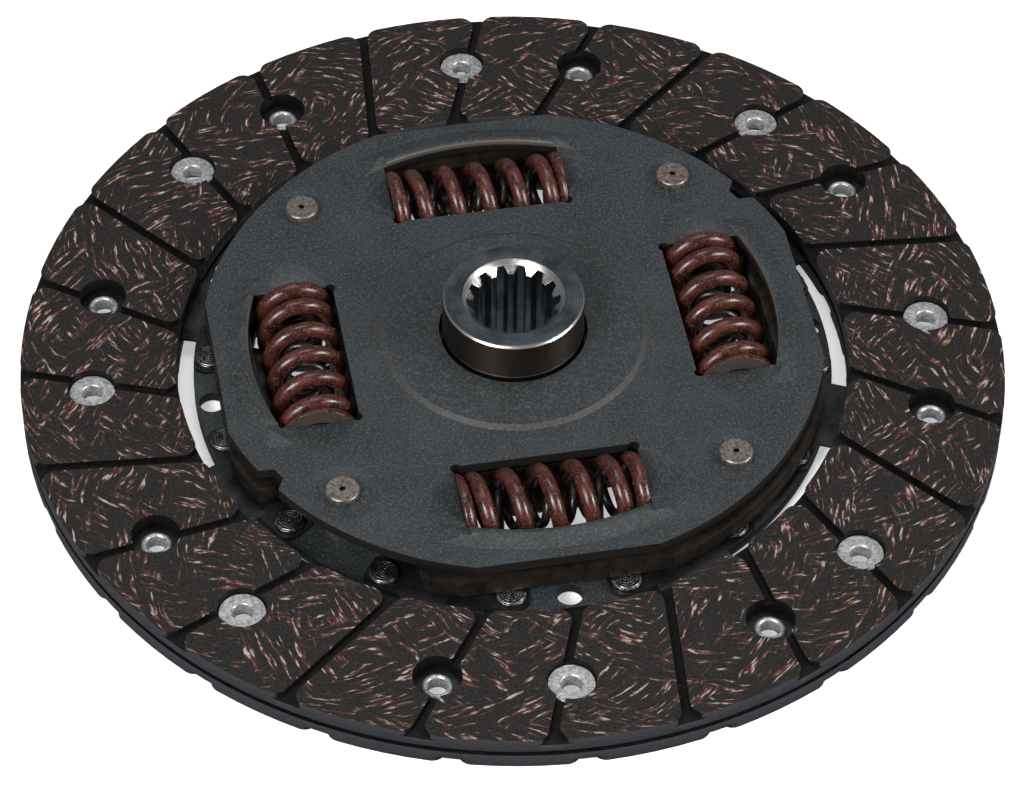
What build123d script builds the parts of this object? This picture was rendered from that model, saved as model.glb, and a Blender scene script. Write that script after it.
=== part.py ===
from build123d import *
from math import asin, cos, degrees, pi, radians, sin, sqrt
import os

# Damped clutch disc. Millimetres and degrees, +Z towards the gearbox.
# The origin is on the shaft axis, in the flywheel-side friction face.

# ---- driving dimensions ----

# friction linings
lining_outer_r = 107.5
lining_inner_r = 73.5
lining_thickness = 3.5
groove_count = 24
groove_width = 2.0
groove_depth = 1.5
groove_offset = 25.8  # each groove's line passes the axis at this distance
groove_angle = 9.94  # direction of the first groove's line
block_corner_r = 3.0  # rounded corners of the blocks between the grooves

# cushion segments, riveted between the plate and the linings
segment_count = 8
segment_thickness = 0.65
cushion_travel = 0.70  # how far the two linings close on each other
segment_inset = 1.5  # from the linings' edges to the segments' edges
paddle_half_angle = 21.3
paddle_skew = 11.07  # the paddle's centre line, ahead of its neck
neck_angle = 22.5  # the first neck
neck_width = 18.0
foot_depth = 8.4
foot_half_angle = 15.2
fold_flat = 9.0  # width of the flat seats that the waves leave for the rivets

# tubular rivets of the linings
lining_rivet_offset = 1.6  # pitch circle outside the middle of a lining's width
lining_rivet_half_angle = 8.57  # each side of a paddle's centre line
tube_outer_r = 2.7
tube_wall = 0.6
tube_head_r = 4.95
tube_head_thickness = 0.8
tube_head_sink = 1.6  # below the friction face
tube_flare = 0.7  # the rolled end outside the tube
tube_flare_height = 1.05
head_clearance = 0.25  # round the heads, in the linings' holes

# driven plate on the flywheel side, cover plate on the gearbox side
lining_clearance = 3.5  # from the driven plate's edge out to the linings
driven_plate_thickness = 2.5
cover_step = 2.2  # the cover plate's edge inside the driven plate's
cover_plate_thickness = 2.6
plate_gap = 8.45  # between the two plates
waist_depth = 2.8  # how deep the flats outside the windows cut the cover plate
waist_corner_r = 2.5
centre_rise = 0.7
centre_rise_r = 29.5
cover_hole_gap = 0.8  # round the hub
cover_notch_angle = 30.0
cover_notch_width = 7.4
cover_notch_depth = 2.9

# windows and springs
window_count = 4
window_nip = 0.05  # how far a window's inner edge reaches over its spring
window_room = 2.85  # from the spring out to the window's outer edge
window_length = 39.6
window_relief_r = 1.25
lip_height = 1.25
lip_width = 5.1
lip_run_out = 5.5  # how far past a window its lip takes to fade into the plate
scoop_length = 9.0
scoop_width = 15.5
scoop_depth = 0.7
spring_axis_r = 45.8
spring_rise = 1.08  # the springs' axes above the middle of the plates' gap
spring_end_clearance = 0.15
outer_wire_r = 1.75
outer_coil_r = 7.3
outer_turns = 7.0
inner_wire_r = 1.0
inner_coil_r = 4.0
inner_turns = 9.0
closed_turns = 1.25  # at each end
spring_lead = 0.35
outer_facets = (8, 12)  # round the wire, along one turn
inner_facets = (6, 8)

# stop pins
pin_angle = 42.44
pin_circle_r = 59.3
pin_shank_r = 4.0
pin_neck_r = 2.9
pin_rim = 0.75  # a head outside its neck
pin_head_height = 1.4
pin_foot_height = 0.95
pin_dish_r = 7.6
pin_dish_depth = 0.4

# rivets of the cushion segments
foot_rivet_edge = 3.5  # the rivets' circle inside the driven plate's edge
foot_rivet_half_angle = 11.85
foot_rivet_r = 2.4
foot_rivet_rim = 0.85  # the head outside its shank
foot_rivet_head_height = 1.15
foot_rivet_tail_height = 0.9
plate_hole_r = 2.8  # open holes on the rivets' circle

# hub and its flange
hub_outer_r = 15.4
hub_bottom_z = 0.8
hub_top_z = 25.55
hub_chamfer = 0.5
spline_teeth = 14
spline_major_r = 10.1
spline_depth = 1.35
spline_root_width = 1.5
spline_mouth_width = 2.7
spline_angle = 18.97  # the first tooth space
bore_chamfer = 1.1
flange_step = 1.2  # the flange's edge inside the driven plate's
flange_proud = 0.1  # its flats outside the cover plate's
flange_thickness = 4.2
flange_window_inside = 0.8  # its windows past the plates' ones, towards the hub
flange_window_outside = 1.5  # and short of them, away from it
seat_teeth = 20
seat_foot = 2.8  # from the hub's wall to the roots of its seat's teeth
seat_depth = 1.4
seat_root_width = 2.4
seat_mouth_width = 3.4
drive_angle = 16.0  # twist that closes the drive-side stop
coast_angle = 9.0  # twist that closes the coast-side stop
flange_notch_corner_r = 3.5

# friction set on the hub
bush_wall = 2.55
bush_flange_width = 6.0
friction_ring_r = 30.0
friction_ring_thickness = 0.9
friction_ring_gap = 0.6  # round the hub
disc_spring_r = 28.5
disc_spring_gap = 3.1  # round the hub
disc_spring_thickness = 0.5

# clearances
fit_clearance = 0.05
stop_clearance = 0.15

# ---- radii and places, worked out from the sizes above ----
segment_outer_r = lining_outer_r - segment_inset
paddle_inner_r = lining_inner_r + segment_inset
lining_rivet_r = (lining_outer_r + lining_inner_r) / 2 + lining_rivet_offset
tube_bore_r = tube_outer_r - tube_wall
tube_flare_r = tube_outer_r + tube_flare
clearance_hole_r = tube_head_r + head_clearance
driven_plate_r = lining_inner_r - lining_clearance
foot_inner_r = driven_plate_r - foot_depth
foot_rivet_circle_r = driven_plate_r - foot_rivet_edge
foot_rivet_head_r = foot_rivet_r + foot_rivet_rim
plate_hole_circle_r = foot_rivet_circle_r
cover_plate_r = driven_plate_r - cover_step
waist_r = cover_plate_r - waist_depth
flange_outer_r = driven_plate_r - flange_step
flange_waist_r = waist_r + flange_proud
pin_head_r = pin_neck_r + pin_rim
spring_length = window_length - 2 * spring_end_clearance
spring_outer_r = outer_coil_r + outer_wire_r
window_inner_x = spring_axis_r - spring_outer_r + window_nip
window_outer_r = spring_axis_r + spring_outer_r + window_room
lip_foot_r = window_outer_r + lip_width
flange_window_inner_x = window_inner_x - flange_window_inside
flange_window_outer_x = window_outer_r - flange_window_outside
spline_minor_r = spline_major_r - spline_depth
pin_half_angle = degrees(asin(pin_shank_r / pin_circle_r) + stop_clearance / pin_circle_r)
seat_root_r = hub_outer_r + seat_foot
seat_tip_r = seat_root_r + seat_depth
bush_bore_r = hub_outer_r + fit_clearance
bush_outer_r = bush_bore_r + bush_wall
bush_flange_r = bush_outer_r + bush_flange_width
cover_hole_r = hub_outer_r + cover_hole_gap
friction_ring_inner_r = hub_outer_r + friction_ring_gap
disc_spring_inner_r = hub_outer_r + disc_spring_gap

# ---- levels, worked out from the sizes above ----
cushion_gap = cushion_travel + segment_thickness
gearbox_lining_z = lining_thickness + cushion_gap
disc_thickness = gearbox_lining_z + lining_thickness
cushion_mid_z = lining_thickness + cushion_gap / 2
foot_top_z = cushion_mid_z + segment_thickness / 2
driven_top_z = cushion_mid_z - segment_thickness / 2
driven_bottom_z = driven_top_z - driven_plate_thickness
cover_bottom_z = driven_top_z + plate_gap
cover_top_z = cover_bottom_z + cover_plate_thickness
gap_mid_z = (driven_top_z + cover_bottom_z) / 2
spring_z = gap_mid_z + spring_rise
flange_bottom_z = gap_mid_z - flange_thickness / 2 + 0.1
flange_top_z = flange_bottom_z + flange_thickness
segment_pitch = 360 / segment_count


def sector(inner_r, outer_r, low_angle, high_angle):
    """A flat ring sector between two radii and two angles."""
    reach = 2 * outer_r
    half = radians((high_angle - low_angle) / 2)
    rise = reach * sin(half) / cos(half)
    wedge = Polygon((0, 0), (reach, -rise), (reach, rise), align=None)
    ring = Circle(outer_r) - Circle(inner_r)
    return ring & (Rot(0, 0, (low_angle + high_angle) / 2) * wedge)


def turned(points, low_angle=0, high_angle=360):
    """A turned solid: a profile of (radius, height) points about the shaft axis."""
    face = Plane.XZ * Polygon(*points, align=None)
    return revolve(Rot(0, 0, low_angle) * face, Axis.Z, high_angle - low_angle)


def at_angles(shape, count, first=0.0):
    """Copies of a shape at equal steps about the shaft axis."""
    return [Rot(0, 0, first + 360 / count * k) * shape for k in range(count)]


def on_circle(radius, angle):
    return Rot(0, 0, angle) * Pos(radius, 0, 0)


# ---- friction linings ----


def paddle_sides(side):
    """Angles of one side's rivet holes: +1 leads the paddles' centre lines, -1 trails them."""
    first = neck_angle + paddle_skew + side * lining_rivet_half_angle
    return [first + segment_pitch * k for k in range(segment_count)]


def flipped(shape):
    """What lies on the gearbox side, turned over about the first paddle's centre line."""
    first = neck_angle + paddle_skew
    half_turn = Rot(0, 0, first) * Rot(180, 0, 0) * Rot(0, 0, -first)
    return Pos(0, 0, 2 * cushion_mid_z) * half_turn * shape


def lining():
    """A lining, friction face up, its back at z = 0: grooved blocks, own rivet seats, clearance holes."""
    ring = Circle(lining_outer_r) - Circle(lining_inner_r)
    strip = Pos(lining_outer_r / 2, groove_offset) * Rectangle(1.5 * lining_outer_r, groove_width)
    blocks = ring - at_angles(strip, groove_count, groove_angle)
    blocks = fillet(blocks.vertices(), block_corner_r)
    floor_z = lining_thickness - groove_depth
    body = extrude(ring, floor_z) + extrude(Pos(0, 0, floor_z) * blocks, groove_depth)
    seat_z = lining_thickness - tube_head_sink - tube_head_thickness
    shank_hole = Cylinder(tube_outer_r + fit_clearance, 3 * lining_thickness)
    head_hole = Pos(0, 0, seat_z + lining_thickness / 2) * Cylinder(clearance_hole_r, lining_thickness)
    tail_hole = Cylinder(clearance_hole_r, 3 * lining_thickness)
    for angle in paddle_sides(1):
        body = body - on_circle(lining_rivet_r, angle) * (shank_hole + head_hole)
    for angle in paddle_sides(-1):
        body = body - on_circle(lining_rivet_r, angle) * tail_hole
    return body


def tubular_rivet():
    """Head up, its top at z = 0; the far end is rolled over the cushion segment."""
    grip = lining_thickness - tube_head_sink + segment_thickness + fit_clearance
    flare_z = -grip - tube_flare_height
    return turned(
        [
            (tube_bore_r + 0.25, 0),
            (tube_head_r, 0),
            (tube_head_r, -tube_head_thickness),
            (tube_outer_r, -tube_head_thickness),
            (tube_outer_r, -grip),
            (tube_flare_r, -grip - 0.15),
            (tube_flare_r - 0.15, flare_z + 0.3),
            (tube_outer_r - 0.1, flare_z),
            (tube_bore_r, flare_z + 0.35),
            (tube_bore_r, -0.4),
        ]
    )


def lining_rivets():
    rivet = Pos(0, 0, disc_thickness - tube_head_sink) * tubular_rivet()
    return group(on_circle(lining_rivet_r, angle) * rivet for angle in paddle_sides(1))


# ---- cushion segments ----


def wave_points(level):
    """The wave across a paddle as (tangential place, height), at a level of the sheet."""
    crest = lining_rivet_r * sin(radians(lining_rivet_half_angle))
    end = segment_outer_r * sin(radians(paddle_half_angle)) + 2
    height = cushion_travel / 2 - fit_clearance / 4
    seats = [
        (-end, height),
        (-crest - fold_flat / 2, -height),
        (-crest + fold_flat / 2, -height),
        (crest - fold_flat / 2, height),
        (crest + fold_flat / 2, height),
        (end, -height),
    ]
    return [(y, z + level) for y, z in seats]


def paddle():
    """The waved outer part of a segment, its centre line along +X."""
    half = segment_thickness / 2
    outline = wave_points(-half) + wave_points(half)[::-1]
    sheet = extrude(Plane.YZ * Polygon(*outline, align=None), segment_outer_r + 5)
    blank = sector(paddle_inner_r, segment_outer_r, -paddle_half_angle, paddle_half_angle)
    blank = fillet(blank.vertices(), 3.0)
    return sheet & extrude(Pos(0, 0, -2) * blank, 4)


def neck():
    """The strip from the foot to the paddle along +X; it steps down to the paddle's seat."""
    half = segment_thickness / 2
    drop = cushion_travel / 2 - fit_clearance / 4
    fold_r = driven_plate_r + 0.5
    top = [(foot_inner_r + 4, 0), (fold_r, 0), (paddle_inner_r, -drop), (paddle_inner_r + 3, -drop)]
    outline = [(x, z + half) for x, z in top] + [(x, z - half) for x, z in top[::-1]]
    return extrude(Plane.XZ * Polygon(*outline, align=None), neck_width / 2, both=True)


def cushion_segment():
    """One segment in the cushion's middle plane, its neck along +X."""
    foot = sector(foot_inner_r, driven_plate_r, -foot_half_angle, foot_half_angle)
    foot = fillet(foot.vertices(), 2.5)
    body = extrude(Pos(0, 0, -segment_thickness / 2) * foot, segment_thickness)
    body = body + neck() + Rot(0, 0, paddle_skew) * paddle()
    tube_hole = Cylinder(tube_outer_r + fit_clearance, 5)
    foot_hole = Cylinder(foot_rivet_r + fit_clearance, 5)
    for side in (-1, 1):
        tube_angle = paddle_skew + side * lining_rivet_half_angle
        body = body - on_circle(lining_rivet_r, tube_angle) * tube_hole
        body = body - on_circle(foot_rivet_circle_r, side * foot_rivet_half_angle) * foot_hole
    return body


def foot_rivet():
    top = foot_top_z + foot_rivet_head_height
    tail = driven_bottom_z - foot_rivet_tail_height
    return turned(
        [
            (0, tail),
            (foot_rivet_head_r - 0.5, tail),
            (foot_rivet_head_r - 0.1, driven_bottom_z),
            (foot_rivet_r, driven_bottom_z),
            (foot_rivet_r, foot_top_z),
            (foot_rivet_head_r, foot_top_z),
            (foot_rivet_head_r, top - 0.35),
            (foot_rivet_head_r - 0.35, top),
            (0, top),
        ]
    )


def foot_rivets():
    """Both rivets of every foot."""
    rivet = Pos(foot_rivet_circle_r, 0, 0) * foot_rivet()
    low = at_angles(rivet, segment_count, neck_angle - foot_rivet_half_angle)
    return low + at_angles(rivet, segment_count, neck_angle + foot_rivet_half_angle)


# ---- damper plates ----


def window_outline():
    """A spring window: straight inside, an arc outside, with relieved inner corners."""
    width = window_outer_r - window_inner_x
    slot = Pos(window_inner_x + width / 2, 0) * Rectangle(width, window_length)
    slot = slot & Circle(window_outer_r)
    inset = window_relief_r / 2
    for side in (-1, 1):
        corner = Pos(window_inner_x + inset, side * (window_length / 2 - inset))
        slot = slot + corner * Circle(window_relief_r)
    return slot


def lip(thickness):
    """The rounded ridge along a window's outer side, on a plate whose outer face is at z = thickness.

    Its ends slope down to nothing past the window.
    """
    end = window_length / 2 + lip_run_out
    half = degrees(asin(end / window_outer_r))
    crest = thickness + lip_height
    ridge = turned(
        [
            (window_outer_r, thickness / 2),
            (window_outer_r, crest - 0.45),
            (window_outer_r + 0.35, crest - 0.1),
            (window_outer_r + 1.1, crest),
            (window_outer_r + 2.0, crest - 0.15),
            (lip_foot_r - 1.3, thickness + 0.25),
            (lip_foot_r, thickness - 0.05),
            (lip_foot_r, thickness / 2),
        ],
        -half,
        half,
    )
    slopes = Polygon(
        (-end, thickness / 2),
        (end, thickness / 2),
        (end, thickness - 0.05),
        (window_length / 2 - 1.5, crest + 0.05),
        (1.5 - window_length / 2, crest + 0.05),
        (-end, thickness - 0.05),
        align=None,
    )
    return ridge & extrude(Plane.YZ * slopes, lip_foot_r + 5)


def lip_hollow():
    """What the pressing takes from the inner face behind a lip."""
    half = degrees(asin(window_length / 2 / lip_foot_r))
    return turned(
        [
            (window_outer_r - 1, -1),
            (window_outer_r - 1, 0.8),
            (window_outer_r + 1.6, 0.8),
            (lip_foot_r - 1, 0),
            (lip_foot_r - 1, -1),
        ],
        -half,
        half,
    )


def scoop(thickness, side):
    """A soft hollow that runs out of the plate's face beyond one end of a window."""
    roller_r = scoop_width**2 / (8 * scoop_depth)
    slope = degrees(asin(scoop_depth / scoop_length))
    start = Pos(spring_axis_r - 0.6, side * (window_length / 2 - 0.5), thickness - scoop_depth)
    roller = Pos(0, 0, roller_r) * Rot(-90 * side, 0, 0) * Cylinder(
        roller_r, 2 * scoop_length, align=(Align.CENTER, Align.CENTER, Align.MIN)
    )
    return start * Rot(side * slope, 0, 0) * roller


def pressed_plate(outline, thickness):
    """A damper plate with its inner face at z = 0 and its lips standing out of its outer face."""
    plate = extrude(outline, thickness)
    plate = plate + at_angles(lip(thickness), window_count)
    plate = plate - at_angles(lip_hollow(), window_count)
    plate = plate - at_angles(extrude(Pos(0, 0, -1) * window_outline(), thickness + 4), window_count)
    for side in (-1, 1):
        plate = plate - at_angles(scoop(thickness, side), window_count)
    pin_hole = Pos(pin_circle_r, 0, 0) * Cylinder(pin_neck_r + fit_clearance, 4 * thickness)
    return plate - at_angles(pin_hole, window_count, pin_angle)


def waisted_disc(radius, flat_r):
    """A disc with a flat outside each window."""
    square = Rectangle(2 * flat_r, 2 * flat_r)
    disc = Circle(radius) & square
    return fillet(disc.vertices(), waist_corner_r)


def cover_plate():
    outline = waisted_disc(cover_plate_r, waist_r) - Circle(cover_hole_r)
    notch = Polygon(
        (cover_plate_r - cover_notch_depth, -cover_notch_width / 4.5),
        (cover_plate_r + 1, -cover_notch_width / 2 - 0.5),
        (cover_plate_r + 1, cover_notch_width / 2 + 0.5),
        (cover_plate_r - cover_notch_depth, cover_notch_width / 4.5),
        align=None,
    )
    outline = outline - at_angles(notch, 2, cover_notch_angle)
    plate = pressed_plate(outline, cover_plate_thickness)
    on_base = (Align.CENTER, Align.CENTER, Align.MIN)
    rise = Cone(centre_rise_r, centre_rise_r - 1.2, centre_rise, align=on_base)
    rise = Pos(0, 0, cover_plate_thickness) * rise - Cylinder(cover_hole_r, 20)
    plate = plate + rise - Cone(centre_rise_r - 1.6, centre_rise_r - 2.8, centre_rise, align=on_base)
    dish = Cone(pin_head_r, pin_dish_r, pin_dish_depth, align=on_base)
    dish = Pos(pin_circle_r, 0, cover_plate_thickness - pin_dish_depth) * dish
    plate = plate - at_angles(dish, window_count, pin_angle)
    return Pos(0, 0, cover_bottom_z) * plate


def driven_plate():
    outline = Circle(driven_plate_r) - Circle(bush_outer_r)
    plate = mirror(pressed_plate(outline, driven_plate_thickness), about=Plane.XY)
    hole = Cylinder(foot_rivet_r + fit_clearance, 12)
    for side in (-1, 1):
        first = on_circle(foot_rivet_circle_r, side * foot_rivet_half_angle) * hole
        plate = plate - at_angles(first, segment_count, neck_angle)
    plate = plate - at_angles(Pos(plate_hole_circle_r, 0, 0) * Cylinder(plate_hole_r, 12), window_count)
    return Pos(0, 0, driven_top_z) * plate


def stop_pin():
    head_z = cover_top_z - pin_dish_depth
    top = cover_top_z + pin_head_height
    foot = driven_bottom_z - pin_foot_height
    return turned(
        [
            (0, foot),
            (pin_head_r - 0.5, foot),
            (pin_head_r, driven_bottom_z),
            (pin_neck_r, driven_bottom_z),
            (pin_neck_r, driven_top_z),
            (pin_shank_r, driven_top_z),
            (pin_shank_r, cover_bottom_z),
            (pin_neck_r, cover_bottom_z),
            (pin_neck_r, head_z),
            (pin_head_r, head_z),
            (pin_head_r, top - 0.25),
            (pin_head_r - 0.25, top),
            (0.65, top),
            (0.5, top - 0.6),
            (0, top - 0.6),
        ]
    )


# ---- hub and flange ----


def tooth_gaps(count, root_r, mouth_r, root_width, mouth_width, first=0.0):
    """Tapered tooth spaces, root_width wide at root_r and mouth_width at mouth_r, and cut a little past it."""
    slope = (mouth_width - root_width) / (mouth_r - root_r)
    past_r = mouth_r + (0.4 if mouth_r > root_r else -0.4)
    past_width = mouth_width + slope * (past_r - mouth_r)
    (low_r, low_width), (high_r, high_width) = sorted([(root_r, root_width), (past_r, past_width)])
    gap = Polygon(
        (low_r, -low_width / 2),
        (high_r, -high_width / 2),
        (high_r, high_width / 2),
        (low_r, low_width / 2),
        align=None,
    )
    return at_angles(gap, count, first)


def seat_outline(allowance):
    """The toothed seat of the flange on the hub, made larger by an allowance."""
    root_r = seat_root_r + allowance
    tip_r = seat_tip_r + allowance
    root_width = seat_root_width - 2 * allowance
    mouth_width = seat_mouth_width - 2 * allowance
    return Circle(tip_r) - tooth_gaps(seat_teeth, root_r, tip_r, root_width, mouth_width)


def hub():
    body = turned(
        [
            (0, hub_bottom_z),
            (hub_outer_r - hub_chamfer, hub_bottom_z),
            (hub_outer_r, hub_bottom_z + hub_chamfer),
            (hub_outer_r, hub_top_z - hub_chamfer),
            (hub_outer_r - hub_chamfer, hub_top_z),
            (0, hub_top_z),
        ]
    )
    body = body + extrude(Pos(0, 0, flange_bottom_z) * seat_outline(0), flange_thickness)
    spaces = (spline_teeth, spline_major_r, spline_minor_r, spline_root_width, spline_mouth_width)
    bore = Circle(spline_minor_r) + tooth_gaps(*spaces, spline_angle)
    body = body - extrude(Pos(0, 0, hub_bottom_z - 1) * bore, hub_top_z - hub_bottom_z + 2)
    mouth_r = spline_major_r + bore_chamfer
    depth = mouth_r - spline_minor_r
    top = Pos(0, 0, hub_top_z - depth / 2) * Cone(spline_minor_r, mouth_r, depth)
    bottom = Pos(0, 0, hub_bottom_z + depth / 2) * Cone(mouth_r, spline_minor_r, depth)
    return body - top - bottom


def hub_flange():
    blank = waisted_disc(flange_outer_r, flange_waist_r)
    low, high = -coast_angle - pin_half_angle, drive_angle + pin_half_angle
    floor_r = pin_circle_r - pin_shank_r - 0.4
    notch = sector(floor_r, flange_outer_r + 4, low, high)
    blank = blank - at_angles(notch, 2, pin_angle)
    blank = fillet(blank.vertices().filter_by(at_notch_mouth), flange_notch_corner_r)
    blank = blank - at_angles(kidney_slot(), 2, pin_angle + 90)
    width = flange_window_outer_x - flange_window_inner_x
    window = Pos(flange_window_inner_x + width / 2, 0) * RectangleRounded(width, window_length, 0.8)
    blank = blank - at_angles(window, window_count)
    blank = blank - seat_outline(fit_clearance / 2)
    return extrude(Pos(0, 0, flange_bottom_z) * blank, flange_thickness)


def at_notch_mouth(vertex):
    """Is this a corner where an open stop notch meets the flange's rim?"""
    middle = radians(pin_angle + (drive_angle - coast_angle) / 2)
    on_rim = abs(sqrt(vertex.X**2 + vertex.Y**2) - flange_outer_r) < 0.5
    along = abs(vertex.X * cos(middle) + vertex.Y * sin(middle))
    reach = (drive_angle + coast_angle) / 2 + pin_half_angle + 2
    return on_rim and along > flange_outer_r * cos(radians(reach))


def kidney_slot():
    """A closed slot that gives a stop pin its travel."""
    half = pin_shank_r + 2 * stop_clearance
    ring = sector(pin_circle_r - half, pin_circle_r + half, -coast_angle, drive_angle)
    for angle in (-coast_angle, drive_angle):
        ring = ring + Rot(0, 0, angle) * Pos(pin_circle_r, 0) * Circle(half)
    return ring


def centring_bush():
    """Plastic bush between the driven plate and the hub; its flange rubs on the hub flange."""
    return turned(
        [
            (bush_bore_r, driven_bottom_z),
            (bush_outer_r, driven_bottom_z),
            (bush_outer_r, driven_top_z),
            (bush_flange_r, driven_top_z),
            (bush_flange_r, flange_bottom_z - fit_clearance),
            (bush_bore_r, flange_bottom_z - fit_clearance),
        ]
    )


def friction_ring():
    low = flange_top_z + fit_clearance
    high = low + friction_ring_thickness
    inner = friction_ring_inner_r
    return turned([(inner, low), (friction_ring_r, low), (friction_ring_r, high), (inner, high)])


def disc_spring():
    """Coned washer that presses the friction ring on the flange."""
    low = flange_top_z + fit_clearance + friction_ring_thickness
    rise = cover_bottom_z - low - disc_spring_thickness
    return turned(
        [
            (disc_spring_inner_r, low + rise),
            (disc_spring_r, low),
            (disc_spring_r, low + disc_spring_thickness),
            (disc_spring_inner_r, low + rise + disc_spring_thickness),
        ]
    )


# ---- damper springs ----


def coil_spring(coil_r, wire_r, turns, facets, side):
    """A compression spring along Y with closed, ground ends, centred on the origin.

    Its wire passes the top spring_lead turns after its start, on the way to side * X.
    """
    sides, steps = facets
    closed_pitch = 2 * wire_r + fit_clearance
    reach = (spring_length + wire_r) / 2
    open_pitch = 2 * (reach - closed_turns * closed_pitch) / (turns - 2 * closed_turns)
    sections = []
    height = -reach
    for k in range(round(turns * steps) + 1):
        angle = 2 * pi * (k / steps - spring_lead)
        radial = Vector(side * sin(angle), 0, cos(angle))
        run = Vector(side * cos(angle), open_pitch / (2 * pi * coil_r), -sin(angle))
        frame = Plane(origin=radial * coil_r + Vector(0, height, 0), x_dir=radial, z_dir=run)
        sections.append(frame * RegularPolygon(wire_r, sides))
        turn = (k + 0.5) / steps
        closed = min(turn, turns - turn) < closed_turns
        height += (closed_pitch if closed else open_pitch) / steps
    return loft(sections, ruled=True) & Box(4 * coil_r, spring_length, 4 * coil_r)


def damper_springs(coil_r, wire_r, turns, facets, side):
    """The springs of all the windows; the third stands end for end."""
    spring = coil_spring(coil_r, wire_r, turns, facets, side)
    placed = []
    for k in range(window_count):
        end_for_end = 180 if k == 2 else 0
        turn = Rot(0, 0, 360 / window_count * k)
        placed.append(turn * Pos(spring_axis_r, 0, spring_z) * Rot(0, 0, end_for_end) * spring)
    return placed


# ---- the sub-parts ----


def group(shapes):
    return Compound(children=list(shapes))


def write(node, shape):
    export_step(shape, f"parts/{node}.step")


os.makedirs("parts", exist_ok=True)
write("hub", hub())
write("hub_flange", hub_flange())
write("cover_plate", cover_plate())
write("driven_plate", driven_plate())
write("stop_pins", group(at_angles(Pos(pin_circle_r, 0, 0) * stop_pin(), window_count, pin_angle)))
write("centring_bush", centring_bush())
write("friction_ring", friction_ring())
write("disc_spring", disc_spring())
gearbox_lining = Pos(0, 0, gearbox_lining_z) * lining()
write("lining_gearbox_side", gearbox_lining)
write("lining_flywheel_side", flipped(gearbox_lining))
write("lining_rivets_gearbox", lining_rivets())
write("lining_rivets_flywheel", flipped(lining_rivets()))
write("segment_rivets", group(foot_rivets()))
segment = Pos(0, 0, cushion_mid_z) * cushion_segment()
for number, shape in enumerate(at_angles(segment, segment_count, neck_angle), 1):
    write(f"cushion_segment_{number}", shape)
outer = damper_springs(outer_coil_r, outer_wire_r, outer_turns, outer_facets, 1)
for number, shape in enumerate(outer, 1):
    write(f"outer_spring_{number}", shape)
inner = damper_springs(inner_coil_r, inner_wire_r, inner_turns, inner_facets, -1)
for number, shape in enumerate(inner, 1):
    write(f"inner_spring_{number}", shape)
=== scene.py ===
import functools
import math

import bmesh
import bpy
from mathutils import Matrix, Vector


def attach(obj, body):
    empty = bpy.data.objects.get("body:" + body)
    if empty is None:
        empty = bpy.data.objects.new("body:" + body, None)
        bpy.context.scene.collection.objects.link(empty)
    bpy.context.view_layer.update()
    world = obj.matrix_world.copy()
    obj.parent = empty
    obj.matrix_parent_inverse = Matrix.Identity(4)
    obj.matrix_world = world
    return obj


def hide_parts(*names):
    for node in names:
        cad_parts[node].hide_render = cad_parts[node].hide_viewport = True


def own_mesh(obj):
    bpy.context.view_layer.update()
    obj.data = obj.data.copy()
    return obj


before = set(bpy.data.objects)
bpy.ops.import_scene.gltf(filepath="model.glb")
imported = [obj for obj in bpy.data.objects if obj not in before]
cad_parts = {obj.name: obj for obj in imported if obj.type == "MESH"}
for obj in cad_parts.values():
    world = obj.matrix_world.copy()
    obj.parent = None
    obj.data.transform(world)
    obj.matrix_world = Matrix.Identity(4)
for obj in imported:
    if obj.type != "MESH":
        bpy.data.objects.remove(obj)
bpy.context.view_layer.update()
mm = 0.001


def hexToLinear(code):
    # sRGB hex to linear RGBA
    parts = [int(code[i:i + 2], 16) / 255 for i in (1, 3, 5)]
    return [p / 12.92 if p <= 0.04045 else ((p + 0.055) / 1.055) ** 2.4 for p in parts] + [1.0]


def addNode(tree, kind, inputs=None, output=0, **settings):
    # one node; an input is a number, a hex colour, or another node's output to link
    node = tree.nodes.new("ShaderNode" + kind)
    for key, value in settings.items():
        setattr(node, key, value)
    for key, value in (inputs or {}).items():
        if isinstance(value, bpy.types.NodeSocket):
            tree.links.new(value, node.inputs[key])
        else:
            node.inputs[key].default_value = hexToLinear(value) if isinstance(value, str) else value
    return node.outputs[output]


def newMaterial(name, metallic):
    # an empty material, its shader, and addNode bound to its tree
    material = bpy.data.materials.new(name)
    material.use_nodes = True
    tree = material.node_tree
    shader = tree.nodes["Principled BSDF"]
    shader.inputs["Metallic"].default_value = metallic
    return material, shader, functools.partial(addNode, tree)


def connect(shader, **sources):
    # BaseColor=... goes to the socket Base Color, and so on
    names = {"baseColor": "Base Color", "roughness": "Roughness", "metallic": "Metallic", "normal": "Normal"}
    for key, source in sources.items():
        shader.id_data.links.new(source, shader.inputs[names[key]])


# camera, light and floor

cameraSettings = {
    "place": (-117.67, -605.4, 673.8),  # mm
    "target": (-2.459, -12.335, 8.35),
    "tilt": -0.0150,  # radians about the line of sight
    "lens": 145.72,
    "sensor": 36.0,
    "clip": (0.05, 20),  # m
}


def makeCamera(s):
    data = bpy.data.cameras.new("camera")
    data.lens = s["lens"]
    data.sensor_width = s["sensor"]
    data.clip_start, data.clip_end = s["clip"]
    camera = bpy.data.objects.new("camera", data)
    bpy.context.scene.collection.objects.link(camera)
    place = Vector(s["place"]) * mm
    back = (place - Vector(s["target"]) * mm).normalized()
    right = Vector((0, 0, 1)).cross(back).normalized()
    up = back.cross(right)
    cosTilt, sinTilt = math.cos(s["tilt"]), math.sin(s["tilt"])
    right, up = right * cosTilt - up * sinTilt, up * cosTilt + right * sinTilt
    camera.matrix_world = Matrix((
        (right.x, up.x, back.x, place.x),
        (right.y, up.y, back.y, place.y),
        (right.z, up.z, back.z, place.z),
        (0, 0, 0, 1)))
    bpy.context.scene.camera = camera


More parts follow.
